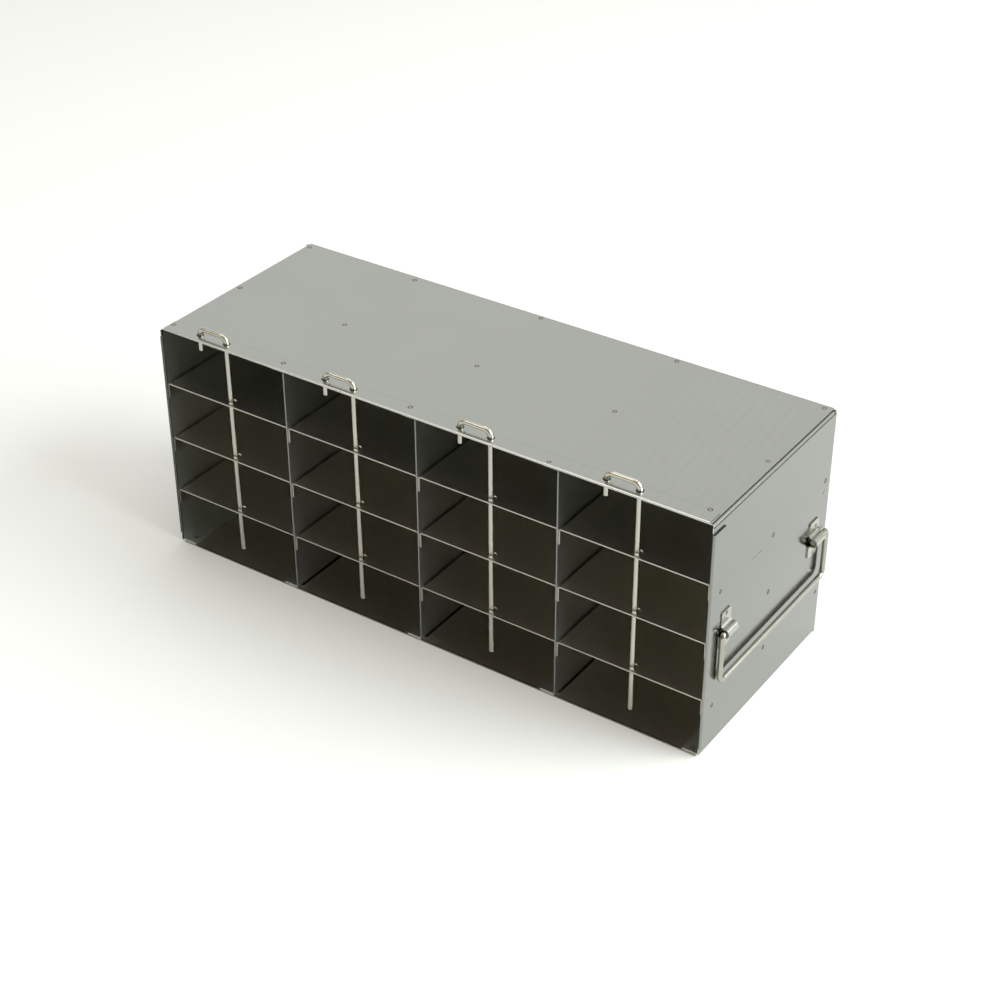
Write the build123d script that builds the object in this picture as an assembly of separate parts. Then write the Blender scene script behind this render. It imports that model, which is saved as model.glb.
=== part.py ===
from build123d import *
import os

os.makedirs("parts", exist_ok=True)

# Rack of folded stainless sheet for an upright freezer: four columns of four
# cells, open at the front and closed at the back. A loose rod in front of each
# column keeps the cells' contents in, and a wire bail on one end carries it.
# X runs along the length, with the bail at +X. The open front faces -Y and Z is
# up. The origin is the centre of the underside. Lengths are in millimetres.

# Cells: all columns are equally wide between the sheets, and all cells equally high
columns = 4
rows = 4
column_pitch = 93.6
rack_depth = 140.0
cell_height = 37.1

# Folded sheet
sheet = 0.8
bend_inside = 0.6
case_flange = 10.9
divider_flange = 10.5
shelf_flange = 10.1
raw_edge_setback = 0.3
shelf_setback = 1.4
top_flange_setback = 1.5
foot_flange_setback = 0.9
back_clearance = 0.2
panel_inset = 2.2
corner_relief = 1.2
cut_margin = 1.0

# Hems: the front edges fold outward and lie flat on the sheet
hem_gap = 0.1
lid_hem_depth = 11.0
end_hem_depth = 12.0
hem_corner = 5.4
hem_relief = 0.7
hem_relief_depth = 1.6
hem_end_trim = 0.8

# Retaining rods
rod_diameter = 3.2
rod_bend_inside = 2.5
rod_from_front = 5.8
rod_loop_width = 20.2
rod_loop_rise = 4.5
rod_short_leg_under_lid = 9.0
rod_tip_above_floor = 7.6
rod_tip_round = 1.0
rod_hole_play = 0.5
shelf_hole_play = 1.65

# Bail
bail_wire = 3.2
bail_play = 0.55
bail_drop = 31.0
bail_axis_height = 76.6
bail_top_bend_inside = 0.85
bail_bar_bend_inside = 2.9
bail_front_gap = 0.4
bail_back_gap = 5.25
bail_end_setback = 0.5

# Clips that hold the bail
clip_width = 10.7
clip_ear = 7.2
clip_hem_gap = 2.2
clip_from_back = 12.45
clip_neck_inside = 1.7
clip_corner = 1.6

# Levels and faces that follow from the sizes above
front = -rack_depth / 2
back = rack_depth / 2
end_face = columns * column_pitch / 2 + sheet / 2
end_inner = end_face - sheet
end_centre = end_face - sheet / 2
panel_half = end_face - panel_inset
raw_front = front + raw_edge_setback
shelf_front = front + shelf_setback
back_inner = back - sheet
bend_centre = bend_inside + sheet / 2
bend_outside = bend_inside + sheet
inside_back = back_inner - bend_inside - back_clearance
flange_back = back - bend_outside - corner_relief
hem_centre = (hem_gap + sheet) / 2
hem_outside = hem_gap / 2 + sheet
shelf_pitch = cell_height + sheet
lid_under = sheet + rows * shelf_pitch - sheet
lid_top = lid_under + sheet
rack_height = lid_top + hem_gap + sheet
low = sheet * 1.5
high = lid_under - sheet / 2


def folded(points, radius, near, far):
    """Sheet whose centreline in the XZ plane is points, running from near to far in Y."""
    centreline = FilletPolyline(*points, radius=radius)
    section = trace(centreline, sheet)
    return extrude(Plane.XZ.offset(-far) * section, far - near)


def block(x0, x1, y0, y1, z0, z1):
    """Box between two corners."""
    middle = Location(((x0 + x1) / 2, (y0 + y1) / 2, (z0 + z1) / 2))
    return middle * Box(x1 - x0, y1 - y0, z1 - z0)


def upright(x, y, radius, z0, z1):
    """Round bar along Z."""
    return Location((x, y, (z0 + z1) / 2)) * Cylinder(radius, z1 - z0)


def cut_ends(wire):
    """The flat faces at the two ends of a wire."""
    return [face for face in wire.faces() if face.geom_type == GeomType.PLANE]


def wire_along(points, diameter, inside_bends):
    """Round wire bent at each inner point."""
    radii = [inside + diameter / 2 for inside in inside_bends]
    path = FilletPolyline(*points, radius=radii)
    section = Plane(origin=path @ 0, z_dir=path % 0) * Circle(diameter / 2)
    return sweep(section, path=path)


def hem_section(reach, depth):
    """Sheet of length reach with its edge turned back on itself. The fold's front is
    at the origin, the sheet lies along +X and the turned leaf on its -Y side."""
    start = (reach, 0)
    fold = (hem_outside, 0)
    flat = Line(start, fold)
    turn = JernArc(flat @ 1, flat % 1, hem_centre, 180)
    leaf = Line(turn @ 1, (depth, -2 * hem_centre))
    return trace(Curve() + [flat, turn, leaf], sheet)


# Positions of the dividers and of the rods
divider_x = [(i - (columns - 2) / 2) * column_pitch for i in range(columns - 1)]
column_x = [(i - (columns - 1) / 2) * column_pitch for i in range(columns)]
rod_y = front + rod_from_front
rod_radius = rod_diameter / 2
lid_hole = rod_radius + rod_hole_play
shelf_hole = rod_radius + shelf_hole_play

# Floor panel, a flat sheet under the flanges
bottom_panel = block(-panel_half, panel_half, front, back, 0, sheet)

# Lid with its hem folded up and back over the front edge
lid_end = Plane(
    origin=(panel_half, front, lid_under + sheet / 2),
    x_dir=(0, 1, 0),
    z_dir=(-1, 0, 0),
)
top_panel = extrude(lid_end * hem_section(rack_depth, lid_hem_depth), 2 * panel_half)
trim_from = panel_half - hem_end_trim
trim_back = front + lid_hem_depth + cut_margin
above = rack_height + cut_margin
below = lid_under - cut_margin
ahead = front - cut_margin
trim = block(trim_from, panel_half + cut_margin, ahead, trim_back, lid_top, above)
top_panel -= trim
top_panel -= mirror(trim, about=Plane.YZ)
for x in column_x:
    top_panel -= upright(x, rod_y, lid_hole, below, above)
    top_panel -= upright(x - rod_loop_width, rod_y, lid_hole, below, above)

# Wrap: both ends and the back are one sheet, with flanges turned in at the ends
end_points = [
    (end_face - case_flange, low),
    (end_centre, low),
    (end_centre, high),
    (end_face - case_flange, high),
]
right_end = folded(end_points, bend_centre, raw_front, flange_back)

# The flanges start behind the web's front edge
top_notch_back = front + top_flange_setback
foot_notch_back = front + foot_flange_setback
bend_top = lid_under - bend_outside
bend_foot = sheet + bend_outside
inside = end_inner - cut_margin
outside = end_face + cut_margin
flange_tip = end_face - case_flange - cut_margin
right_end -= block(flange_tip, end_inner, ahead, top_notch_back, bend_top, above)
right_end -= block(flange_tip, end_inner, ahead, foot_notch_back, -cut_margin, bend_foot)

# The end's hem runs between two small reliefs that free its fold from the raw edge
hem_low = sheet + hem_corner
hem_high = lid_under - hem_corner
relief_back = front + hem_relief_depth
for z in (hem_low - hem_relief, hem_high):
    right_end -= block(inside, outside, ahead, relief_back, z, z + hem_relief)
right_end -= block(inside, outside, ahead, front + hem_outside, hem_low, hem_high)
hem_foot = Plane(origin=(end_centre, front, hem_low), x_dir=(0, 1, 0), z_dir=(0, 0, 1))
end_hem = hem_section(end_hem_depth, end_hem_depth)
right_end += extrude(hem_foot * end_hem, hem_high - hem_low)

left_end = mirror(right_end, about=Plane.YZ)
wrap_points = [
    (-end_centre, flange_back),
    (-end_centre, back - sheet / 2),
    (end_centre, back - sheet / 2),
    (end_centre, flange_back),
]
wrap_section = trace(FilletPolyline(*wrap_points, radius=bend_centre), sheet)
back_web = extrude(Plane.XY.offset(sheet) * wrap_section, lid_under - sheet)
case_wrap = right_end + back_web + left_end

# Dividers between the columns, each a channel with flanges to -X
dividers = []
for x in divider_x:
    points = [
        (x + sheet / 2 - divider_flange, low),
        (x, low),
        (x, high),
        (x + sheet / 2 - divider_flange, high),
    ]
    divider = folded(points, bend_centre, raw_front, inside_back)
    web = x - sheet / 2
    tip = x - divider_flange - cut_margin
    divider -= block(tip, web, ahead, top_notch_back, bend_top, above)
    divider -= block(tip, web, ahead, foot_notch_back, -cut_margin, bend_foot)
    dividers.append(divider)

# Shelves between the walls of each column, with both ends turned down
shelves = {}
for column in range(columns):
    left = -end_inner if column == 0 else divider_x[column - 1] + sheet / 2
    right = end_inner if column == columns - 1 else divider_x[column] - sheet / 2
    for row in range(rows - 1):
        top = sheet + (row + 1) * shelf_pitch
        level = top - sheet / 2
        points = [
            (left + sheet / 2, top - shelf_flange),
            (left + sheet / 2, level),
            (right - sheet / 2, level),
            (right - sheet / 2, top - shelf_flange),
        ]
        shelf = folded(points, bend_centre, shelf_front, inside_back)
        under = top - sheet - cut_margin
        shelf -= upright(column_x[column], rod_y, shelf_hole, under, top + cut_margin)
        shelves[f"shelf_{column + 1}_{row + 1}"] = shelf

# Retaining rods: the long leg passes every shelf and the loop stands on the lid
loop_height = rack_height + rod_loop_rise
long_tip = sheet + rod_tip_above_floor
short_tip = lid_under - rod_short_leg_under_lid
rods = []
for x in column_x:
    points = [
        (x, rod_y, long_tip),
        (x, rod_y, loop_height),
        (x - rod_loop_width, rod_y, loop_height),
        (x - rod_loop_width, rod_y, short_tip),
    ]
    bends = [rod_bend_inside, rod_bend_inside]
    rod = wire_along(points, rod_diameter, bends)
    rims = [edge for face in cut_ends(rod) for edge in face.edges()]
    rods.append(chamfer(rims, min(rod_tip_round, 0.45 * rod_diameter)))

# Clips: a strap with two flat ears and a round barrel that stands off the end
barrel_inside = bail_wire / 2 + bail_play
barrel_centre = barrel_inside + sheet / 2
neck_centre = clip_neck_inside + sheet / 2
axis_off = sheet + barrel_inside
neck_x = sheet / 2 + neck_centre
reach = barrel_centre + neck_centre
neck_z = (reach**2 - (axis_off - neck_x) ** 2) ** 0.5
share = barrel_centre / reach
touch_x = axis_off + (neck_x - axis_off) * share
touch_z = neck_z * share
ear_end = neck_z + clip_ear
upper_ear = Line((sheet / 2, ear_end), (sheet / 2, neck_z))
upper_neck = TangentArc((sheet / 2, neck_z), (touch_x, touch_z), tangent=(0, -1))
barrel = ThreePointArc((touch_x, touch_z), (axis_off + barrel_centre, 0), (touch_x, -touch_z))
lower_neck = TangentArc((sheet / 2, -neck_z), (touch_x, -touch_z), tangent=(0, 1))
lower_ear = Line((sheet / 2, -neck_z), (sheet / 2, -ear_end))
strap_section = trace(Curve() + [upper_ear, upper_neck, barrel, lower_neck, lower_ear], sheet)
clip_plane = Plane.XZ.offset(clip_width / 2)
clip = extrude(clip_plane * strap_section, -clip_width)
ear_corners = [
    edge
    for edge in clip.edges().filter_by(Axis.X)
    if abs(abs(edge.center().Z) - ear_end) < sheet / 10
]
clip = fillet(ear_corners, min(clip_corner, 0.45 * clip_ear))
front_clip_y = front + end_hem_depth + clip_hem_gap + clip_width / 2
rear_clip_y = back - clip_from_back - clip_width / 2
handle_clip_front = Location((end_face, front_clip_y, bail_axis_height)) * clip
handle_clip_rear = Location((end_face, rear_clip_y, bail_axis_height)) * clip

# Bail, hanging down, with its ends turned in through the clips
bail_x = end_face + axis_off
bail_bottom = bail_axis_height - bail_drop
front_arm_y = front_clip_y - clip_width / 2 - bail_front_gap - bail_wire / 2
rear_arm_y = rear_clip_y + clip_width / 2 + bail_back_gap + bail_wire / 2
bail_points = [
    (bail_x, front_clip_y + clip_width / 2 - bail_end_setback, bail_axis_height),
    (bail_x, front_arm_y, bail_axis_height),
    (bail_x, front_arm_y, bail_bottom),
    (bail_x, rear_arm_y, bail_bottom),
    (bail_x, rear_arm_y, bail_axis_height),
    (bail_x, rear_clip_y - clip_width / 2 + bail_end_setback, bail_axis_height),
]
bail_bends = [
    bail_top_bend_inside,
    bail_bar_bend_inside,
    bail_bar_bend_inside,
    bail_top_bend_inside,
]
bail_handle = wire_along(bail_points, bail_wire, bail_bends)

# Written pieces
pieces = {
    "top_panel": top_panel,
    "bottom_panel": bottom_panel,
    "case_wrap": case_wrap,
    "handle_clip_front": handle_clip_front,
    "handle_clip_rear": handle_clip_rear,
    "bail_handle": bail_handle,
}
for i, divider in enumerate(dividers):
    pieces[f"divider_{i + 1}"] = divider
pieces.update(shelves)
for i, rod in enumerate(rods):
    pieces[f"retaining_rod_{i + 1}"] = rod
for name, piece in pieces.items():
    export_step(piece, f"parts/{name}.step")
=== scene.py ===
# %% [markdown]
# A freezer rack in satin stainless steel.
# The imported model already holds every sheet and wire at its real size. This
# notebook gives them their finish, adds the marks that welding and handling
# leave, and lights the rack as in a small studio.

# %% Load the frame and measure it
import math

import bmesh
import bpy
from mathutils import Matrix, Vector


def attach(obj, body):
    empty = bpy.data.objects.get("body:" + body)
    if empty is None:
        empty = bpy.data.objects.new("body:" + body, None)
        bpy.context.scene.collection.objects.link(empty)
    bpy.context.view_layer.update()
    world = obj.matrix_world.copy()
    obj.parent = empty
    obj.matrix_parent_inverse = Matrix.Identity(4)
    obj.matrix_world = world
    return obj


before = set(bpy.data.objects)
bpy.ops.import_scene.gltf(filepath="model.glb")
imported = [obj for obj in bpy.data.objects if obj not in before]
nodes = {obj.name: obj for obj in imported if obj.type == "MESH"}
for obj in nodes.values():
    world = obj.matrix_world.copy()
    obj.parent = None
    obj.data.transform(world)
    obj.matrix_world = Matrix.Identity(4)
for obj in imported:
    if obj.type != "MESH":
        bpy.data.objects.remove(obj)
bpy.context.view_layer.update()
MM = 0.001

# %% [markdown]
# Where the camera stood
# A photograph fixes its own viewpoint: parallel edges of the rack run to
# vanishing points, and those give the direction, the distance and the lens.
# The camera is set up from a place, two angles and a small tilt, which is
# easier to read than a matrix.

# %% Camera
CAMERA_PLACE = (0.56800, -0.81899, 0.70992)
CAMERA_AZIMUTH = 34.320
CAMERA_ELEVATION = 33.044
CAMERA_TILT = -0.071
CAMERA_LENS = 71.595
SENSOR_WIDTH = 36.0
FARTHEST_SEEN = 100.0


def make_camera():
    """Camera that looks along an azimuth, down by an elevation, tilted about its view."""
    data = bpy.data.cameras.new("studio_camera")
    data.sensor_width = SENSOR_WIDTH
    data.lens = CAMERA_LENS
    data.clip_end = FARTHEST_SEEN
    camera = bpy.data.objects.new("studio_camera", data)
    turn = Matrix.Rotation(math.radians(CAMERA_AZIMUTH), 4, "Z")
    lean = Matrix.Rotation(math.radians(90 - CAMERA_ELEVATION), 4, "X")
    tilt = Matrix.Rotation(math.radians(CAMERA_TILT), 4, "Z")
    camera.matrix_world = Matrix.Translation(CAMERA_PLACE) @ turn @ lean @ tilt
    bpy.context.scene.collection.objects.link(camera)
    bpy.context.scene.camera = camera
    return camera


print("Camera:", make_camera().name, "with a lens of", CAMERA_LENS, "mm")

# %% [markdown]
# The floor
# The rack stands on a plain pale floor. It is one large face, so that its edge
# never shows, not even as a line mirrored in the steel.

# %% Floor
FLOOR_SIZE = 24.0
FLOOR_COLOUR = (0.86, 0.86, 0.85, 1)
FLOOR_ROUGHNESS = 0.9


def make_floor():
    """Plain pale floor that the rack stands on."""
    half = FLOOR_SIZE / 2
    mesh = bpy.data.meshes.new("studio_floor")
    corners = [(-half, -half, 0), (half, -half, 0), (half, half, 0), (-half, half, 0)]
    mesh.from_pydata(corners, [], [(0, 1, 2, 3)])
    floor = bpy.data.objects.new("studio_floor", mesh)
    bpy.context.scene.collection.objects.link(floor)
    material = bpy.data.materials.new("pale_floor")
    material.use_nodes = True
    shader = material.node_tree.nodes["Principled BSDF"]
    shader.inputs["Base Color"].default_value = FLOOR_COLOUR
    shader.inputs["Roughness"].default_value = FLOOR_ROUGHNESS
    mesh.materials.append(material)
    return floor


make_floor()
print("Floor:", FLOOR_SIZE, "m wide")

# %% [markdown]
# Light
# Bare metal has almost no colour of its own: it shows what stands around it.
# Three soft boxes light the rack and the floor. The strongest stands at the
# right and brightens the floor there, because the right end mirrors that floor.

# %% Soft boxes
WHITE = (1, 1, 1)
WARM = (1.0, 0.97, 0.92)
COOL = (0.93, 1.0, 0.985)
RACK_MIDDLE = (0, 0, 0.1)
RIGHT_SIDE = (0.3, 0.1, 0.0)

# Each row: name, place, target, width and height in metres, watts, tint.
soft_boxes = [
    ("overhead_light", (0.0, 0.1, 2.4), RACK_MIDDLE, 2.2, 2.2, 15, WHITE),
    ("front_light", (-1.3, -1.6, 2.2), RACK_MIDDLE, 1.3, 1.0, 9, WARM),
    ("side_light", (1.7, 0.5, 1.1), RIGHT_SIDE, 2.0, 1.5, 56, COOL),
]


def soft_box(name, place, target, width, height, power, tint):
    """Rectangular soft light at place, aimed at target."""
    light = bpy.data.lights.new(name, "AREA")
    light.shape = "RECTANGLE"
    light.size = width
    light.size_y = height
    light.energy = power
    light.color = tint
    holder = bpy.data.objects.new(name, light)
    aim = Vector(target) - Vector(place)
    facing = aim.to_track_quat("-Z", "Y").to_matrix().to_4x4()
    holder.matrix_world = Matrix.Translation(place) @ facing
    bpy.context.scene.collection.objects.link(holder)
    return holder


for row in soft_boxes:
    soft_box(*row)

# %% [markdown]
# The room around the rack
# The lid mirrors the upper back of the room, so that is pale. The cells look
# out to the front, so that is dim and warm. A ramp along Y gives both from one
# gradient, without walls that could show.

# %% Room
ROOM_FRONT_ENDS, ROOM_FRONT_COLOUR = 0.30, (0.40, 0.365, 0.30, 1)
ROOM_BACK_STARTS, ROOM_BACK_COLOUR = 0.62, (0.80, 0.82, 0.79, 1)
BOUNCES_IN_CELLS = 12


def make_world():
    """Surroundings: pale screens behind and above, a dim warm room in front."""
    world = bpy.data.worlds.new("studio_room")
    world.use_nodes = True
    tree = world.node_tree
    background = tree.nodes["Background"]
    place = tree.nodes.new("ShaderNodeTexCoord")
    split = tree.nodes.new("ShaderNodeSeparateXYZ")
    ramp = tree.nodes.new("ShaderNodeValToRGB")
    span = tree.nodes.new("ShaderNodeMapRange")
    span.inputs["From Min"].default_value = -1.0
    span.inputs["From Max"].default_value = 1.0
    tree.links.new(place.outputs["Generated"], split.inputs["Vector"])
    tree.links.new(split.outputs["Y"], span.inputs["Value"])
    tree.links.new(span.outputs["Result"], ramp.inputs["Fac"])
    tree.links.new(ramp.outputs["Color"], background.inputs["Color"])
    front, back = ramp.color_ramp.elements
    front.position, front.color = ROOM_FRONT_ENDS, ROOM_FRONT_COLOUR
    back.position, back.color = ROOM_BACK_STARTS, ROOM_BACK_COLOUR
    background.inputs["Strength"].default_value = 1.0
    bpy.context.scene.world = world


make_world()
bpy.context.scene.view_settings.view_transform = "Standard"
# Light that enters a cell leaves it only after many turns between the sheets.
bpy.context.scene.cycles.glossy_bounces = BOUNCES_IN_CELLS
print("Mirrored bounces:", bpy.context.scene.cycles.glossy_bounces)

# %% [markdown]
# Rolled steel
# Cold-rolled stainless is satin, not mirror-bright: rollers leave fine lines
# along the sheet, and hands leave faint clouds. Both are made once, as shader
# groups, so that each material can set its own strength.

# %% Helpers for shader groups


def new_group(name, inputs, output):
    """Shader group with named float inputs, given their defaults, and one named output."""
    group = bpy.data.node_groups.new(name, "ShaderNodeTree")
    for label, default in inputs:
        socket = group.interface.new_socket(label, in_out="INPUT", socket_type="NodeSocketFloat")
        socket.default_value = default
    group.interface.new_socket(output, in_out="OUTPUT", socket_type="NodeSocketFloat")
    entry = group.nodes.new("NodeGroupInput")
    end = group.nodes.new("NodeGroupOutput")
    return group, entry, end


def put_out_centred(group, noise, entry, end, label):
    """Moves a noise to lie about 0, multiplies it by the group's Contrast and puts it out."""
    centre = group.nodes.new("ShaderNodeMath")
    centre.operation = "SUBTRACT"
    centre.inputs[1].default_value = 0.5
    group.links.new(noise.outputs["Fac"], centre.inputs[0])
    sharpen = group.nodes.new("ShaderNodeMath")
    sharpen.operation = "MULTIPLY"
    group.links.new(centre.outputs["Value"], sharpen.inputs[0])
    group.links.new(entry.outputs["Contrast"], sharpen.inputs[1])
    group.links.new(sharpen.outputs["Value"], end.inputs[label])


# %% Shader groups for grain and clouds
GRAIN_DETAIL = 3.0
CLOUD_DETAIL = 5.0
CLOUD_SOFTNESS = 0.55
CLOUDS_PER_METRE = 14.0


def make_grain_group():
    """Fine lines along X, Y or Z: a noise squeezed across and stretched along them."""
    inputs = [("Across X", 1.0), ("Across Y", 1.0), ("Across Z", 1.0), ("Contrast", 1.0)]
    group, entry, end = new_group("rolled_grain", inputs, "Lines")
    place = group.nodes.new("ShaderNodeTexCoord")
    stretch = group.nodes.new("ShaderNodeCombineXYZ")
    for axis in "XYZ":
        group.links.new(entry.outputs["Across " + axis], stretch.inputs[axis])
    scale = group.nodes.new("ShaderNodeVectorMath")
    scale.operation = "MULTIPLY"
    group.links.new(place.outputs["Object"], scale.inputs[0])
    group.links.new(stretch.outputs["Vector"], scale.inputs[1])
    noise = group.nodes.new("ShaderNodeTexNoise")
    noise.inputs["Scale"].default_value = 1.0
    noise.inputs["Detail"].default_value = GRAIN_DETAIL
    group.links.new(scale.outputs["Vector"], noise.inputs["Vector"])
    put_out_centred(group, noise, entry, end, "Lines")
    return group


def make_cloud_group():
    """Broad soft clouds, as left by wiping and handling."""
    inputs = [("Scale", CLOUDS_PER_METRE), ("Contrast", 1.0)]
    group, entry, end = new_group("handling_clouds", inputs, "Clouds")
    place = group.nodes.new("ShaderNodeTexCoord")
    noise = group.nodes.new("ShaderNodeTexNoise")
    noise.inputs["Detail"].default_value = CLOUD_DETAIL
    noise.inputs["Roughness"].default_value = CLOUD_SOFTNESS
    group.links.new(place.outputs["Object"], noise.inputs["Vector"])
    group.links.new(entry.outputs["Scale"], noise.inputs["Scale"])
    put_out_centred(group, noise, entry, end, "Clouds")
    return group


grain_group = make_grain_group()
cloud_group = make_cloud_group()
print("Shader groups:", grain_group.name, cloud_group.name)

# %% [markdown]
# Sheet and wire finishes
# One recipe serves all of the steel. Grain lines and clouds shift the roughness
# and the brightness a little, and the lines also feed a shallow bump. Coarser
# grain with more contrast stands for the streaks along a drawn wire.

# %% The steel recipe
GRAIN_ALONG = 25.0
GRAIN_DEPTH = 0.0002


def steel(name, colour, roughness, along, grain=0.05, clouds=0.06, bump=0.02, fine=2600.0,
          polish=1.0):
    """Satin steel with grain along X, Y or Z: fine sets how close its lines are, polish how far
    they change the roughness."""
    material = bpy.data.materials.new(name)
    material.use_nodes = True
    tree = material.node_tree
    shader = tree.nodes["Principled BSDF"]
    shader.inputs["Metallic"].default_value = 1.0
    lines = tree.nodes.new("ShaderNodeGroup")
    lines.node_tree = grain_group
    for axis in "XYZ":
        lines.inputs["Across " + axis].default_value = GRAIN_ALONG if axis == along else fine
    cloud = tree.nodes.new("ShaderNodeGroup")
    cloud.node_tree = cloud_group
    both = tree.nodes.new("ShaderNodeMath")
    both.operation = "MULTIPLY_ADD"
    both.inputs[1].default_value = grain
    tree.links.new(lines.outputs["Lines"], both.inputs[0])
    soft = tree.nodes.new("ShaderNodeMath")
    soft.operation = "MULTIPLY"
    soft.inputs[1].default_value = clouds
    tree.links.new(cloud.outputs["Clouds"], soft.inputs[0])
    tree.links.new(soft.outputs["Value"], both.inputs[2])
    rough = tree.nodes.new("ShaderNodeMath")
    rough.operation = "MULTIPLY_ADD"
    rough.inputs[1].default_value = polish
    rough.inputs[2].default_value = roughness
    tree.links.new(both.outputs["Value"], rough.inputs[0])
    tree.links.new(rough.outputs["Value"], shader.inputs["Roughness"])
    tone = tree.nodes.new("ShaderNodeHueSaturation")
    tone.inputs["Color"].default_value = (*colour, 1)
    brightness = tree.nodes.new("ShaderNodeMath")
    brightness.operation = "ADD"
    brightness.inputs[1].default_value = 1.0
    tree.links.new(both.outputs["Value"], brightness.inputs[0])
    tree.links.new(brightness.outputs["Value"], tone.inputs["Value"])
    tree.links.new(tone.outputs["Color"], shader.inputs["Base Color"])
    relief = tree.nodes.new("ShaderNodeBump")
    relief.inputs["Strength"].default_value = bump
    relief.inputs["Distance"].default_value = GRAIN_DEPTH
    tree.links.new(lines.outputs["Lines"], relief.inputs["Height"])
    tree.links.new(relief.outputs["Normal"], shader.inputs["Normal"])
    return material


# %% [markdown]
# One steel for each kind of piece
# The sheets come from one mill, but each kind is coloured apart: the case's outside
# is painted darker as painted shade, the inner sheets lighter as painted light, the
# shelves warm as a painted sheen and the dividers cool as a painted reflection, and
# the clips and wires are brighter and streaked. So each kind has its own colour,
# roughness and direction of grain.

# %% Steel materials
lid_steel = steel("lid_satin_steel", (0.495, 0.501, 0.472), 0.20, "X", grain=0.03, fine=1800.0)
# The case's dark colour is painted shade on its outside; its inside is painted brighter again
# further down.
case_steel = steel("case_satin_steel", (0.238, 0.240, 0.227), 0.15, "Z")
# The shelves' warm colour is a painted sheen of the warm room in front.
inner_steel = steel("shelf_satin_steel", (0.715, 0.682, 0.622), 0.30, "X")
# The dividers' cool colour is a painted reflection.
divider_steel = steel("divider_satin_steel", (0.665, 0.68, 0.675), 0.34, "Z",
                      grain=0.16, fine=700.0, polish=0.3)
clip_steel = steel("clip_bright_steel", (0.43, 0.42, 0.385), 0.20, "Y",
                   grain=0.3, fine=1400.0, polish=0.3)
rod_steel = steel("rod_drawn_steel", (0.46, 0.445, 0.395), 0.21, "Z",
                  grain=0.25, fine=600.0, polish=0.1)
bail_steel = steel("bail_drawn_steel", (0.38, 0.365, 0.32), 0.25, "Y",
                   grain=0.35, fine=700.0, polish=0.1)
print("Steels:", [item.name for item in bpy.data.materials if item.name.endswith("steel")])

# %% [markdown]
# Masks
# Much of the finish belongs to a place on the rack: a seam, a hem, a cut edge.
# Such a place is a mask, a value from 0 to 1 worked out from Object coordinates,
# so it stays where it is on the rack from every side and in every pose. A few
# small helpers keep each mask to a line or two.

# %% Helpers for masks
SHARP = 0.1


def object_axis(tree, axis):
    """Socket with the Object coordinate along one axis, in metres."""
    place = tree.nodes.new("ShaderNodeTexCoord")
    split = tree.nodes.new("ShaderNodeSeparateXYZ")
    tree.links.new(place.outputs["Object"], split.inputs["Vector"])
    return split.outputs[axis]


def maths(tree, operation, first, second):
    """Joins two values, each a socket or a number, by one operation."""
    node = tree.nodes.new("ShaderNodeMath")
    node.operation = operation
    for socket, value in zip(node.inputs, (first, second)):
        if isinstance(value, (int, float)):
            socket.default_value = value
        else:
            tree.links.new(value, socket)
    return node.outputs["Value"]


def side_reach(tree):
    """Distance from the rack's middle towards either end, in metres."""
    return maths(tree, "ABSOLUTE", object_axis(tree, "X"), 0.0)


def above(tree, socket, edge, width):
    """Mask that goes from 0 to 1 where a value passes edge, over a width, in millimetres."""
    step = tree.nodes.new("ShaderNodeMapRange")
    step.inputs["From Min"].default_value = (edge - width / 2) * MM
    step.inputs["From Max"].default_value = (edge + width / 2) * MM
    tree.links.new(socket, step.inputs["Value"])
    return step.outputs["Result"]


def band(tree, socket, low, high, soft):
    """Mask that is 1 between low and high, with soft sides, in millimetres."""
    rise = above(tree, socket, low, soft)
    fall = above(tree, socket, high, soft)
    return maths(tree, "SUBTRACT", rise, fall)


def opposite(tree, mask):
    """Mask that is 1 where another is 0."""
    return maths(tree, "SUBTRACT", 1.0, mask)


def tint_by(material, mask, low, high):
    """Multiplies the material's Base Color by a value between low and high, chosen by a mask."""
    tree = material.node_tree
    shader = tree.nodes["Principled BSDF"]
    source = shader.inputs["Base Color"].links[0].from_socket
    span = tree.nodes.new("ShaderNodeMapRange")
    span.inputs["To Min"].default_value = low
    span.inputs["To Max"].default_value = high
    tree.links.new(mask, span.inputs["Value"])
    tone = tree.nodes.new("ShaderNodeHueSaturation")
    tree.links.new(source, tone.inputs["Color"])
    tree.links.new(span.outputs["Result"], tone.inputs["Value"])
    tree.links.new(tone.outputs["Color"], shader.inputs["Base Color"])


# %% [markdown]
# What the polishing belt left on the lid
# The lid carries faint slanting waves on its right half, about 6 mm apart. A
# wave texture, turned a little and bent by its own distortion, gives them, and a
# wide mask lets them fade in.

# %% Waves on the lid
WAVE_TURN = -6
WAVE_SCALE = 47.0
WAVE_WANDER = 2.6
WAVE_WANDER_SCALE = 0.4
WAVES_FADE_IN_AT, WAVES_FADE_OVER = 85, 90
WAVE_SHADE = 0.978


def add_polishing_waves(material):
    """Faint slanting bands that fade in over the lid's right half."""
    tree = material.node_tree
    place = tree.nodes.new("ShaderNodeTexCoord")
    turn = tree.nodes.new("ShaderNodeMapping")
    turn.inputs["Rotation"].default_value = (0, 0, math.radians(WAVE_TURN))
    tree.links.new(place.outputs["Object"], turn.inputs["Vector"])
    wave = tree.nodes.new("ShaderNodeTexWave")
    wave.bands_direction = "X"
    wave.inputs["Scale"].default_value = WAVE_SCALE
    wave.inputs["Distortion"].default_value = WAVE_WANDER
    wave.inputs["Detail Scale"].default_value = WAVE_WANDER_SCALE
    tree.links.new(turn.outputs["Vector"], wave.inputs["Vector"])
    fade = above(tree, object_axis(tree, "X"), WAVES_FADE_IN_AT, WAVES_FADE_OVER)
    tint_by(material, maths(tree, "MULTIPLY", wave.outputs["Fac"], fade), 1.0, WAVE_SHADE)


add_polishing_waves(lid_steel)
print("Nodes in the lid's finish:", len(lid_steel.node_tree.nodes))
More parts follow.
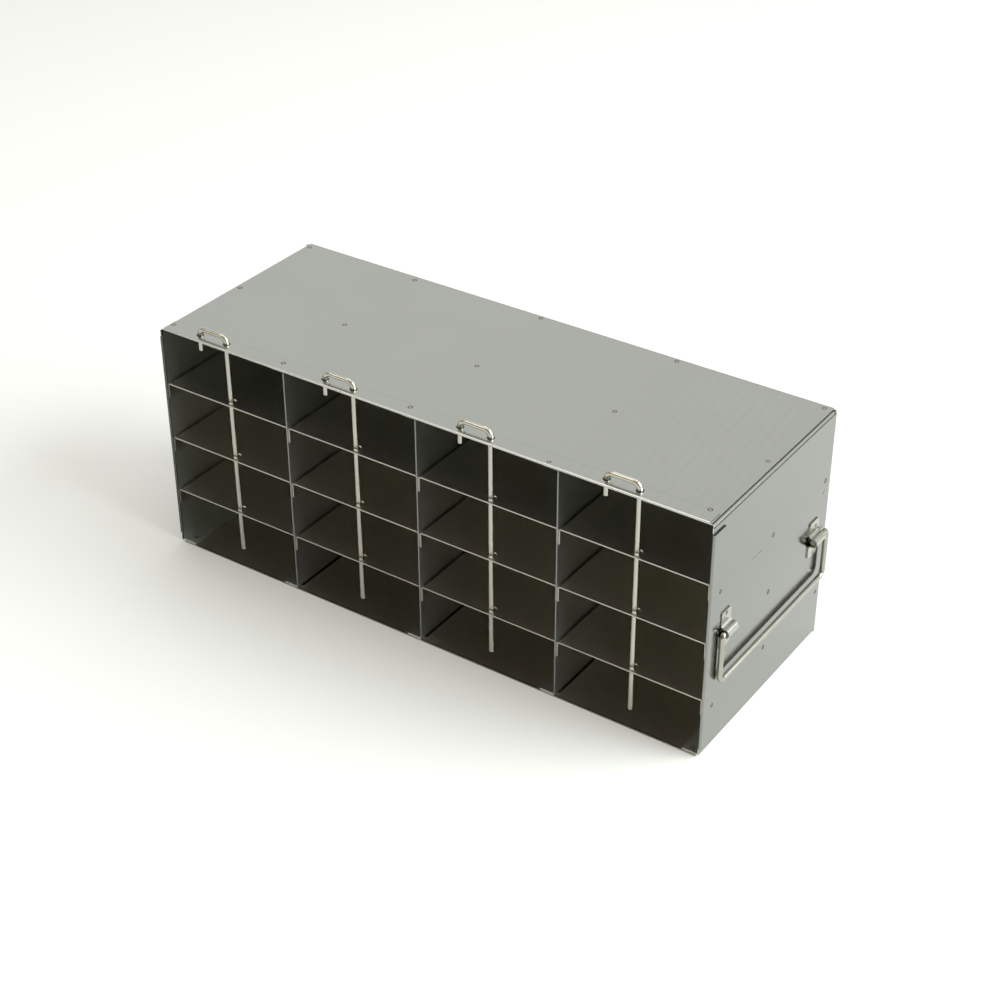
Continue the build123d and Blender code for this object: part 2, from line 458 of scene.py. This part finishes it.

# %% [markdown]
# Painted light inside the case
# The case is one folded sheet, so both its sides share one material. Its inside is
# painted brighter and a little cooler than its outside, as painted light and a
# painted cool reflection, and it is rougher. A mask finds the outside by its
# distance from the middle.

# %% Painted light inside
END_SKIN = 187.2
REAR_SKIN = 69.6
TOP_SKIN = 150.7
# Painted light and a painted cool reflection on the case's inner faces.
INSIDE_PAINTED_LIGHT = 3.3
INSIDE_ROUGHER = 0.22
INSIDE_PAINTED_COOL_REFLECTION = (0.95, 1.0, 1.01, 1)
# A Mix node keeps sockets for every kind of data; these are the ones for colours.
MIX_FIRST, MIX_SECOND, MIX_RESULT = 6, 7, 2


def paint_light_inside(material):
    """Paints the case's inner faces brighter and cooler than its outside, as painted light."""
    tree = material.node_tree
    ends = above(tree, side_reach(tree), END_SKIN, SHARP)
    rear = above(tree, object_axis(tree, "Y"), REAR_SKIN, SHARP)
    top = above(tree, object_axis(tree, "Z"), TOP_SKIN, SHARP)
    outside = maths(tree, "MAXIMUM", maths(tree, "MAXIMUM", ends, rear), top)
    tint_by(material, outside, INSIDE_PAINTED_LIGHT, 1.0)
    shader = tree.nodes["Principled BSDF"]
    satin = shader.inputs["Roughness"].links[0].from_socket
    rougher = maths(tree, "MULTIPLY", opposite(tree, outside), INSIDE_ROUGHER)
    tree.links.new(maths(tree, "ADD", satin, rougher), shader.inputs["Roughness"])
    cool = tree.nodes.new("ShaderNodeMix")
    cool.data_type = "RGBA"
    cool.blend_type = "MULTIPLY"
    colour = shader.inputs["Base Color"].links[0].from_socket
    tree.links.new(colour, cool.inputs[MIX_FIRST])
    cool.inputs[MIX_SECOND].default_value = INSIDE_PAINTED_COOL_REFLECTION
    tree.links.new(opposite(tree, outside), cool.inputs["Factor"])
    tree.links.new(cool.outputs[MIX_RESULT], shader.inputs["Base Color"])


paint_light_inside(case_steel)
print("Nodes in the case's finish:", len(case_steel.node_tree.nodes))

# %% [markdown]
# Painted light and shade at the seam beside the lid
# The lid stops 2 mm short of each end and lies on the ends' folded flanges. At
# its foot is a dark line of painted shade in the gap. Beyond it the flange's bend
# shows as a pale strip of painted highlight, then a second dark line of painted
# shade where the bend ends. The lid's own edge gets a painted highlight. Each is a
# band on height or on side reach.

# %% Painted highlight and shade at flange, seam and bend
# Painted highlight on the flange and the lid's edge, painted shade in the seam and at the bend.
FLANGE_STARTS, FLANGE_SOFT, FLANGE_PAINTED_HIGHLIGHT = 151.0, 0.3, 2.2
FLANGE_FACE = 151.4
SEAM_FROM, SEAM_TO, SEAM_PAINTED_SHADE = 184.0, 186.1, 0.15
BEND_FROM, BEND_TO, BEND_SOFT, BEND_PAINTED_SHADE = 150.25, 150.9, 0.15, 0.22
LID_EDGE, LID_EDGE_PAINTED_HIGHLIGHT = 185.3, 1.9


def paint_lid_seam_light_and_shade():
    """Painted highlight on the flange with a line of painted shade on each side of it, and a
    painted highlight on the lid's edge.
    """
    tree = case_steel.node_tree
    height = object_axis(tree, "Z")
    flange = above(tree, height, FLANGE_STARTS, FLANGE_SOFT)
    tint_by(case_steel, flange, 1.0, FLANGE_PAINTED_HIGHLIGHT)
    face = above(tree, height, FLANGE_FACE, SHARP)
    foot = band(tree, side_reach(tree), SEAM_FROM, SEAM_TO, SHARP)
    tint_by(case_steel, maths(tree, "MULTIPLY", face, foot), 1.0, SEAM_PAINTED_SHADE)
    bend = band(tree, height, BEND_FROM, BEND_TO, BEND_SOFT)
    tint_by(case_steel, bend, 1.0, BEND_PAINTED_SHADE)
    tree = lid_steel.node_tree
    edge = above(tree, side_reach(tree), LID_EDGE, SHARP)
    tint_by(lid_steel, edge, 1.0, LID_EDGE_PAINTED_HIGHLIGHT)


paint_lid_seam_light_and_shade()
print("Flange strip starts", FLANGE_STARTS, "mm over the floor")

# %% [markdown]
# Painted shade and light at the hems and ends
# The front edges are folded back on themselves. Where such a hem ends, a hair-thin
# line of painted shade marks its edge on the sheet. The fold of the left end faces
# away from the light and is painted nearly black as painted shade, the lid's fold
# catches the light and gets a painted highlight, and the right end is painted a
# little paler towards its foot, as a painted reflection of the lit floor.

# %% Painted shade and light at hem lines and folds
HEM_SOFT = 0.2
LEFT_FOLD = (-200.0, -186.6)
FRONT_FOLD, FRONT_FOLD_SOFT = (-80.0, -68.7), 0.3
# Painted shade on the left fold and along the hems' edges, painted light on the lid's fold and
# the right end's foot.
LEFT_FOLD_PAINTED_SHADE = 0.2
END_HEM_LINE = (-58.2, -57.8)
LID_HEM_LINE = (-59.3, -58.8)
HEM_LINE_PAINTED_SHADE = 0.86
END_PALES_AT, END_PALES_OVER, END_PAINTED_LIGHT = 60, 100, 1.2
LID_FOLD, LID_FOLD_SOFT, LID_FOLD_PAINTED_HIGHLIGHT = -69.4, 0.3, 1.25


def paint_hem_shade_and_light():
    """Painted shade where the hems end and on the left fold, a painted highlight on the lid's
    fold, and painted light on the right end's foot.
    """
    tree = case_steel.node_tree
    left = band(tree, object_axis(tree, "X"), *LEFT_FOLD, HEM_SOFT)
    front = band(tree, object_axis(tree, "Y"), *FRONT_FOLD, FRONT_FOLD_SOFT)
    tint_by(case_steel, maths(tree, "MULTIPLY", left, front), 1.0, LEFT_FOLD_PAINTED_SHADE)
    right = above(tree, object_axis(tree, "X"), END_SKIN, SHARP)
    line = band(tree, object_axis(tree, "Y"), *END_HEM_LINE, HEM_SOFT)
    tint_by(case_steel, maths(tree, "MULTIPLY", right, line), 1.0, HEM_LINE_PAINTED_SHADE)
    inside = opposite(tree, above(tree, side_reach(tree), END_SKIN, SHARP))
    upper = above(tree, object_axis(tree, "Z"), END_PALES_AT, END_PALES_OVER)
    tint_by(case_steel, maths(tree, "MAXIMUM", inside, upper), END_PAINTED_LIGHT, 1.0)
    tree = lid_steel.node_tree
    line = band(tree, object_axis(tree, "Y"), *LID_HEM_LINE, HEM_SOFT)
    tint_by(lid_steel, line, 1.0, HEM_LINE_PAINTED_SHADE)
    fold = above(tree, object_axis(tree, "Y"), LID_FOLD, LID_FOLD_SOFT)
    tint_by(lid_steel, fold, LID_FOLD_PAINTED_HIGHLIGHT, 1.0)


paint_hem_shade_and_light()
print("Hem lines at y", END_HEM_LINE[0], "and", LID_HEM_LINE[0], "mm")

# %% [markdown]
# Painted shade around the rods
# Each rod goes through the lid twice, once with its long leg and once with its
# short one, and a ring of painted shade lies round both holes. The holes repeat
# once in every column, so a ping-pong of X folds them onto one another and one ring
# serves a whole row. The rods' loops are painted a little brighter, as a painted
# highlight.

# %% Rings of painted shade at the rod holes
COLUMN_PITCH = 93.6
ROD_LINE = -64.2
LONG_LEG, SHORT_LEG = 46.8, 26.6
# Painted shade round the rod holes, and a painted highlight on the loops.
HOLE_SHADE_REACH, HOLE_SHADE_SOFT, HOLE_PAINTED_SHADE = 2.3, 0.6, 0.25
LOOPS_START, LOOPS_SOFT, LOOPS_PAINTED_HIGHLIGHT = 150, 4, 1.2


def hole_ring(tree, first):
    """Painted shade mask around the row of rod holes, one in every column, that has one at x =
    first.
    """
    along = maths(tree, "ADD", object_axis(tree, "X"), (5 * COLUMN_PITCH - first) * MM)
    along = maths(tree, "PINGPONG", along, COLUMN_PITCH / 2 * MM)
    across = maths(tree, "SUBTRACT", object_axis(tree, "Y"), ROD_LINE * MM)
    squares = [maths(tree, "MULTIPLY", value, value) for value in (along, across)]
    reach = maths(tree, "SQRT", maths(tree, "ADD", *squares), 0.0)
    return opposite(tree, above(tree, reach, HOLE_SHADE_REACH, HOLE_SHADE_SOFT))


def paint_rod_hole_shade_and_loop_highlight():
    """Painted shade round the lid's holes, and a painted highlight on the loops over them."""
    tree = lid_steel.node_tree
    rings = maths(tree, "MAXIMUM", hole_ring(tree, LONG_LEG), hole_ring(tree, SHORT_LEG))
    tint_by(lid_steel, rings, 1.0, HOLE_PAINTED_SHADE)
    tree = rod_steel.node_tree
    loops = above(tree, object_axis(tree, "Z"), LOOPS_START, LOOPS_SOFT)
    tint_by(rod_steel, loops, 1.0, LOOPS_PAINTED_HIGHLIGHT)


paint_rod_hole_shade_and_loop_highlight()
print("Rod holes every", COLUMN_PITCH, "mm")

# %% [markdown]
# Painted shade in the corners of the cells, and cut edges
# Where a shelf meets a wall is another dark groove of painted shade. Columns and
# shelves are evenly spaced, so the same folding of X and Z finds all of the corners at once.
# Cut edges are duller than the faces, because shears tear the steel: all that
# lies in front of a sheet's own front edge is darkened.

# %% Painted shade in the corners, and dull cut edges
SHEET = 0.8
SHELF_PITCH = 37.9
# Painted shade where the shelves meet the walls.
CORNER_WIDTH, CORNER_HEIGHT, CORNER_SOFT, CORNER_PAINTED_SHADE = 1.5, 1.2, 0.3, 0.15
CORNERS_FROM, CORNERS_FROM_SOFT = -66.0, 1.0
CUT_SOFT = 0.06
SHELF_CUT, SHELF_CUT_DARK = -68.5, 0.58
DIVIDER_CUT, DIVIDER_CUT_DARK = -69.62, 0.38


def paint_corner_shade():
    """Painted shade in the grooves where the shelves meet the walls, behind the front edges."""
    tree = inner_steel.node_tree
    to_wall = maths(tree, "PINGPONG", side_reach(tree), COLUMN_PITCH / 2 * MM)
    near_wall = opposite(tree, above(tree, to_wall, CORNER_WIDTH, CORNER_SOFT))
    over_floor = maths(tree, "SUBTRACT", object_axis(tree, "Z"), SHEET * MM)
    to_shelf = maths(tree, "PINGPONG", over_floor, SHELF_PITCH / 2 * MM)
    near_shelf = opposite(tree, above(tree, to_shelf, CORNER_HEIGHT, CORNER_SOFT))
    corner = maths(tree, "MULTIPLY", near_wall, near_shelf)
    behind = above(tree, object_axis(tree, "Y"), CORNERS_FROM, CORNERS_FROM_SOFT)
    tint_by(inner_steel, maths(tree, "MULTIPLY", corner, behind), 1.0, CORNER_PAINTED_SHADE)


def dull_cut_edges(material, edge, factor):
    """Darkens what lies in front of edge, in millimetres along Y."""
    tree = material.node_tree
    tint_by(material, above(tree, object_axis(tree, "Y"), edge, CUT_SOFT), factor, 1.0)


paint_corner_shade()
dull_cut_edges(inner_steel, SHELF_CUT, SHELF_CUT_DARK)
dull_cut_edges(divider_steel, DIVIDER_CUT, DIVIDER_CUT_DARK)
print("Nodes in the inner sheets' finish:", len(inner_steel.node_tree.nodes))

# %% [markdown]
# Dressing the pieces
# Each sheet and wire is already modelled at its real size, so it only needs its
# steel. Pieces of one kind share a name's beginning, and so they share a line
# here instead of one line each.

# %% Dress every sheet and wire
finish_of_kind = {
    "top_panel": lid_steel,
    "bottom_panel": inner_steel,
    "case_wrap": case_steel,
    "handle_clip": clip_steel,
    "bail_handle": bail_steel,
    "shelf": inner_steel,
    "divider": divider_steel,
    "retaining_rod": rod_steel,
}


def dress(node_name, material):
    """Gives a CAD node one material."""
    for slot in nodes[node_name].material_slots:
        slot.material = material


for kind, material in finish_of_kind.items():
    same_kind = [node_name for node_name in nodes if node_name.startswith(kind)]
    for node_name in same_kind:
        dress(node_name, material)
    print(material.name, "on", len(same_kind), kind)

# %% [markdown]
# Spot welds
# The sheets are held by resistance welds: two electrodes pinch the sheets and
# leave a small ring, browned by the heat. The rings repeat at 27 places that
# follow no rule, so a Geometry Nodes tree puts one on each point of a small
# list, and each list is one piece. Drawing them in the material would need a
# mask for every ring, and a decal would not catch light.

# %% The tree that puts a ring on each point
RING_STEPS = 20
RIM_STEPS = 8
SMALLEST_RING, LARGEST_RING = 0.85, 1.1
# A Random Value node keeps sockets for every kind of data; these are the ones for floats.
RANDOM_MIN, RANDOM_MAX, RANDOM_RESULT = 2, 3, 1


def tree_socket(tree, label, kind, default=None):
    """Adds a named input to a Geometry Nodes tree."""
    socket = tree.interface.new_socket(label, in_out="INPUT", socket_type=kind)
    if default is not None:
        socket.default_value = default
    return socket


def make_weld_tree():
    """A low flat ring on each point of a mesh, turned to face one way."""
    tree = bpy.data.node_groups.new("spot_weld_rings", "GeometryNodeTree")
    tree_socket(tree, "Geometry", "NodeSocketGeometry")
    tree_socket(tree, "Ring Radius", "NodeSocketFloat", 1.15 * MM)
    tree_socket(tree, "Rim Radius", "NodeSocketFloat", 0.28 * MM)
    tree_socket(tree, "Flatness", "NodeSocketVector", (1, 1, 0.3))
    tree_socket(tree, "Facing", "NodeSocketVector", (0, 0, 0))
    tree_socket(tree, "Seed", "NodeSocketInt", 3)
    tree_socket(tree, "Finish", "NodeSocketMaterial")
    tree.interface.new_socket("Geometry", in_out="OUTPUT", socket_type="NodeSocketGeometry")
    new, link = tree.nodes.new, tree.links.new
    entry, end = new("NodeGroupInput"), new("NodeGroupOutput")
    ring = new("GeometryNodeCurvePrimitiveCircle")
    ring.inputs["Resolution"].default_value = RING_STEPS
    link(entry.outputs["Ring Radius"], ring.inputs["Radius"])
    rim = new("GeometryNodeCurvePrimitiveCircle")
    rim.inputs["Resolution"].default_value = RIM_STEPS
    link(entry.outputs["Rim Radius"], rim.inputs["Radius"])
    round_ring = new("GeometryNodeCurveToMesh")
    link(ring.outputs["Curve"], round_ring.inputs["Curve"])
    link(rim.outputs["Curve"], round_ring.inputs["Profile Curve"])
    flat_ring = new("GeometryNodeTransform")
    link(round_ring.outputs["Mesh"], flat_ring.inputs["Geometry"])
    link(entry.outputs["Flatness"], flat_ring.inputs["Scale"])
    facing = new("FunctionNodeEulerToRotation")
    link(entry.outputs["Facing"], facing.inputs["Euler"])
    size = new("FunctionNodeRandomValue")
    size.data_type = "FLOAT"
    size.inputs[RANDOM_MIN].default_value = SMALLEST_RING
    size.inputs[RANDOM_MAX].default_value = LARGEST_RING
    link(entry.outputs["Seed"], size.inputs["Seed"])
    place = new("GeometryNodeInstanceOnPoints")
    link(entry.outputs["Geometry"], place.inputs["Points"])
    link(flat_ring.outputs["Geometry"], place.inputs["Instance"])
    link(facing.outputs["Rotation"], place.inputs["Rotation"])
    link(size.outputs[RANDOM_RESULT], place.inputs["Scale"])
    real = new("GeometryNodeRealizeInstances")
    link(place.outputs["Instances"], real.inputs["Geometry"])
    finish = new("GeometryNodeSetMaterial")
    link(real.outputs["Geometry"], finish.inputs["Geometry"])
    link(entry.outputs["Finish"], finish.inputs["Material"])
    link(finish.outputs["Geometry"], end.inputs["Geometry"])
    return tree


weld_tree = make_weld_tree()
print("Tree inputs:", [item.name for item in weld_tree.interface.items_tree
                       if item.in_out == "INPUT"])

# %% [markdown]
# From a tree to a plain piece
# The modifier's inputs are filled by the sockets' identifiers, the object is
# evaluated once, and its result becomes the piece's own mesh. Then the modifier
# is taken off, so that what is left is an ordinary mesh.

# %% A helper that turns a tree's result into one plain mesh


def turn_outwards(mesh):
    """Recalculates normals so that every closed shell faces outwards, and shades it smooth."""
    shell = bmesh.new()
    shell.from_mesh(mesh)
    bmesh.ops.recalc_face_normals(shell, faces=shell.faces)
    shell.to_mesh(mesh)
    shell.free()
    for face in mesh.polygons:
        face.use_smooth = True


def plain_piece(name, points, edges, tree, values):
    """Runs a tree on points and edges in millimetres and keeps the result as a plain mesh."""
    mesh = bpy.data.meshes.new(name)
    mesh.from_pydata([tuple(value * MM for value in point) for point in points], edges, [])
    piece = bpy.data.objects.new(name, mesh)
    bpy.context.scene.collection.objects.link(piece)
    modifier = piece.modifiers.new("make", "NODES")
    modifier.node_group = tree
    for item in tree.interface.items_tree:
        if item.in_out == "INPUT" and item.name in values:
            modifier[item.identifier] = values[item.name]
    depsgraph = bpy.context.evaluated_depsgraph_get()
    result = bpy.data.meshes.new_from_object(piece.evaluated_get(depsgraph), depsgraph=depsgraph)
    piece.modifiers.clear()
    piece.data = result
    result.name = name
    result.materials.clear()
    result.materials.append(values["Finish"])
    for face in result.polygons:
        face.material_index = 0
    turn_outwards(result)
    print(name, "faces:", len(result.polygons))
    return piece


# %% [markdown]
# Finishes of the marks
# Heat browns steel where it is welded, and a scratch shows as a dull dark line.
# Both are the same steel with another colour and a rougher surface, so they come
# from the same recipe.

# %% Weld stain and scratch finishes
MARK_GRAIN, MARK_FINE = 0.3, 1500.0
weld_stain = steel("weld_heat_stain_steel", (0.12, 0.09, 0.055), 0.42, "X",
                   grain=MARK_GRAIN, fine=MARK_FINE)
scratch_shade = steel("scratch_shade_steel", (0.13, 0.12, 0.10), 0.45, "Y",
                      grain=MARK_GRAIN, fine=MARK_FINE)
print("Mark finishes:", weld_stain.name, scratch_shade.name)

# %% [markdown]
# Where the welds are
# Each weld sits on the face that it was pressed into: the lid or the top of its
# hem, the right end or its hem, a clip's ear, or a foot flange. So a point is
# two measured places and the height of that face, all in millimetres.

# %% Rings on the lid, the right end, the clips and the foot flange
LID, HEM_TOP, END, HEM_SIDE, EAR, FOOT = 152.4, 153.3, 187.6, 188.5, 188.4, 1.6
RING_FLATNESS = (1.0, 1.0, 0.3)
UPWARDS = (0.0, 0.0, 0.0)
SIDEWAYS = (0.0, math.radians(90), 0.0)
lid_welds = [
    (-182.6, 65.1, LID), (-182.3, -3.2, LID), (-182.3, -63.3, HEM_TOP),
    (-99.6, 65.5, LID), (-99.3, -5.1, LID), (-98.5, -63.0, HEM_TOP),
    (-7.2, 67.4, LID), (-5.6, -2.0, LID), (-8.6, -62.3, HEM_TOP),
    (86.5, 67.1, LID), (86.7, -1.4, LID), (86.2, -67.2, HEM_TOP),
    (180.8, 66.6, LID), (181.2, -0.2, LID), (179.3, -59.5, HEM_TOP),
]
end_welds = [
    (END, 62.9, 109.2), (END, 0.4, 107.5), (HEM_SIDE, -59.6, 105.8),
    (END, 0.3, 69.8), (END, 64.2, 31.8), (END, -0.1, 31.7), (HEM_SIDE, -60.4, 30.7),
]
ear_welds = [(EAR, -50.4, 86.6), (EAR, 53.6, 84.6), (EAR, 53.3, 66.1)]
foot_welds = [(181.7, -66.2, FOOT), (-180.9, -63.9, FOOT)]
# Each row: name, places, facing, seed, radius of the ring, radius of its rim.
weld_lists = [
    ("lid_spot_welds", lid_welds, UPWARDS, 5, 1.15, 0.31),
    ("end_spot_welds", end_welds, SIDEWAYS, 6, 1.05, 0.46),
    ("clip_spot_welds", ear_welds, SIDEWAYS, 7, 0.9, 0.4),
    ("foot_spot_welds", foot_welds, UPWARDS, 8, 1.1, 0.33),
]
for name, places, facing, seed, radius, rim in weld_lists:
    values = {"Ring Radius": radius * MM, "Rim Radius": rim * MM, "Flatness": RING_FLATNESS,
              "Facing": facing, "Seed": seed, "Finish": weld_stain}
    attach(plain_piece(name, places, [], weld_tree, values), "rack")

# %% [markdown]
# Scratches on the right end
# Each is a hair-thin line that catches less light than the sheet. A thin round
# thread along a short path, half sunk in the sheet, gives that from every side.

# %% The tree that lays a thread along a path
THREAD_STEPS = 6


def make_thread_tree():
    """A thin round thread along every edge chain of a mesh."""
    tree = bpy.data.node_groups.new("scratch_threads", "GeometryNodeTree")
    tree_socket(tree, "Geometry", "NodeSocketGeometry")
    tree_socket(tree, "Thread Radius", "NodeSocketFloat", 0.1 * MM)
    tree_socket(tree, "Finish", "NodeSocketMaterial")
    tree.interface.new_socket("Geometry", in_out="OUTPUT", socket_type="NodeSocketGeometry")
    new, link = tree.nodes.new, tree.links.new
    entry, end = new("NodeGroupInput"), new("NodeGroupOutput")
    path = new("GeometryNodeMeshToCurve")
    link(entry.outputs["Geometry"], path.inputs["Mesh"])
    profile = new("GeometryNodeCurvePrimitiveCircle")
    profile.inputs["Resolution"].default_value = THREAD_STEPS
    link(entry.outputs["Thread Radius"], profile.inputs["Radius"])
    thread = new("GeometryNodeCurveToMesh")
    thread.inputs["Fill Caps"].default_value = True
    link(path.outputs["Curve"], thread.inputs["Curve"])
    link(profile.outputs["Curve"], thread.inputs["Profile Curve"])
    real = new("GeometryNodeRealizeInstances")
    link(thread.outputs["Mesh"], real.inputs["Geometry"])
    finish = new("GeometryNodeSetMaterial")
    link(real.outputs["Geometry"], finish.inputs["Geometry"])
    link(entry.outputs["Finish"], finish.inputs["Material"])
    link(finish.outputs["Geometry"], end.inputs["Geometry"])
    return tree


thread_tree = make_thread_tree()
print("Tree inputs:", [item.name for item in thread_tree.interface.items_tree
                       if item.in_out == "INPUT"])

# %% Scratches
SCRATCH_RADIUS = 0.13
# Each scratch is a chain of places on the right end, as y and z in millimetres.
scratches = [
    [(-12.6, 104.9), (-17.0, 104.7)],
    [(-18.6, 104.8), (-22.7, 104.9)],
    [(61.0, 101.2), (62.2, 102.4), (63.6, 102.9)],
    [(61.6, 77.4), (64.8, 78.6)],
]
points, edges = [], []
for scratch in scratches:
    first = len(points)
    points += [(END, y, z) for y, z in scratch]
    edges += [(first + i, first + i + 1) for i in range(len(scratch) - 1)]
thread_values = {"Thread Radius": SCRATCH_RADIUS * MM, "Finish": scratch_shade}
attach(plain_piece("end_scratches", points, edges, thread_tree, thread_values), "rack")
